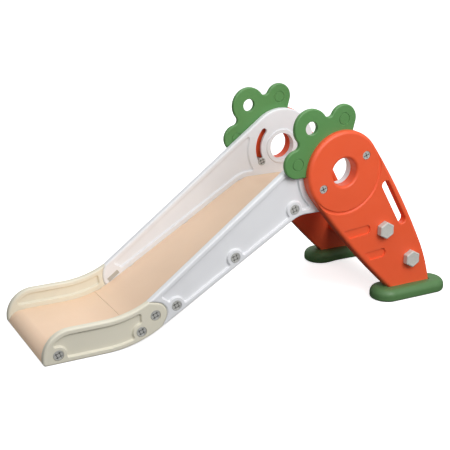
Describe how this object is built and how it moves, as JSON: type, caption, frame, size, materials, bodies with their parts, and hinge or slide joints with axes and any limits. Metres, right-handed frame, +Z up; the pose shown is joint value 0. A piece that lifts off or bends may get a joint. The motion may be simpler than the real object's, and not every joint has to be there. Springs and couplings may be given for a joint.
{
  "type": "toddler slide",
  "caption": "Folding toddler slide with a two-part chute between side rails, a platform, stepped legs that fold under it, a hand hole and a leaf on each leg, and foot pads.",
  "frame": {"origin": "on the floor, in the middle of the length and of the width", "axes": "+X points from the chute's exit towards the steps, +Z up, and +Y to the right of a child who slides down (nodes named left are on the -Y side)"},
  "size_m": [1.312, 0.4868, 0.625],
  "materials": {
    "chute_peach": "satin blow-moulded plastic",
    "leg_orange": "satin blow-moulded plastic",
    "step_orange": "satin blow-moulded plastic",
    "rail_cream": "satin moulded plastic",
    "rail_white": "satin moulded plastic",
    "leaf_green": "satin moulded plastic",
    "foot_green": "satin moulded plastic",
    "screw_steel": "zinc-coated steel",
    "plate_grey": "matte plastic",
    "bolt_grey": "matte plastic cap over a bolt"
  },
  "bodies": {
    "slide": {"chute_lower": "chute_peach", "chute_upper": "chute_peach", "rail_lower_left": "rail_cream", "rail_upper_left": "rail_white", "chute_screws_left": "screw_steel", "knuckle_screw_left": "screw_steel", "nut_plate_left": "plate_grey", "rail_lower_right": "rail_cream", "rail_upper_right": "rail_white", "chute_screws_right": "screw_steel", "knuckle_screw_right": "screw_steel", "nut_plate_right": "plate_grey"},
    "legs": {"step_upper": "step_orange", "step_lower": "step_orange", "carrot_left": "leg_orange", "leaf_left": "leaf_green", "leaf_screws_left": "screw_steel", "foot_left": "foot_green", "foot_screws_left": "screw_steel", "step_bolts_left": "bolt_grey", "guide_screws_left": "screw_steel", "guide_nuts_left": "plate_grey", "carrot_right": "leg_orange", "leaf_right": "leaf_green", "leaf_screws_right": "screw_steel", "foot_right": "foot_green", "foot_screws_right": "screw_steel", "step_bolts_right": "bolt_grey", "guide_screws_right": "screw_steel", "guide_nuts_right": "plate_grey"}
  },
  "joints": [
    {"name": "leg_fold", "type": "hinge", "parent": "slide", "child": "legs", "pos_m": [0.264, 0, 0.428], "axis": [0, 1, 0], "range_deg": [0, 70]}
  ]
}
